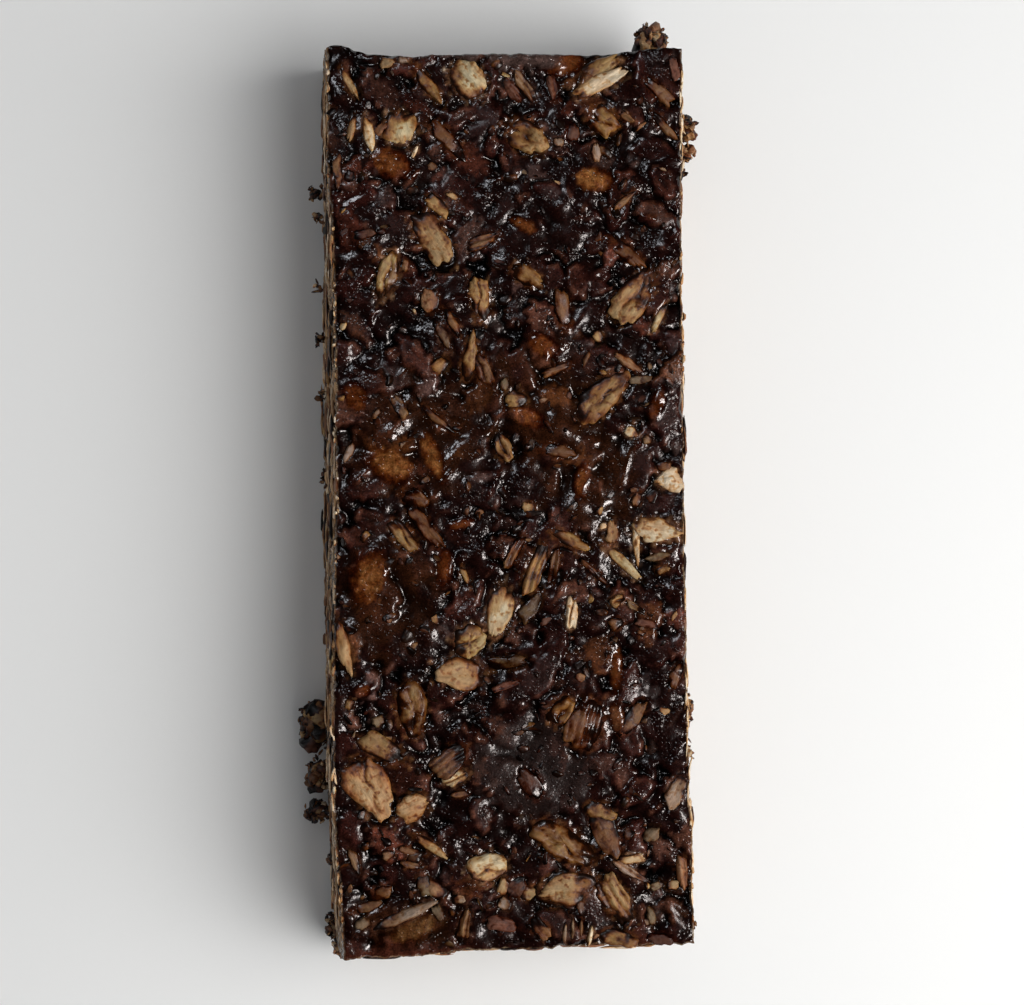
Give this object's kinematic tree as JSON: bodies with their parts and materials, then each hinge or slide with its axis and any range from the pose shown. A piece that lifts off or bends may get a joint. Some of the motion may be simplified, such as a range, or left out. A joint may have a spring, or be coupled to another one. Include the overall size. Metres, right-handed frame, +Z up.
{
  "type": "granola bar",
  "caption": "Oblong chewy granola bar of rolled oats and seeds in a dark sticky binder, cut from a tray, lying flat as a snack.",
  "frame": {"origin": "middle of the flat underside of the bar, on the surface that it lies on", "axes": "+Z up, Y along the bar with +Y towards the end that lay against the tray wall, X across the bar"},
  "size_m": [0.0494, 0.1179, 0.0209],
  "materials": {
    "granola": "sticky dark brown syrup and date binder with tan oat flakes, glossy in the hollows"
  },
  "bodies": {
    "root": {"granola_bar": "granola"}
  },
  "joints": []
}
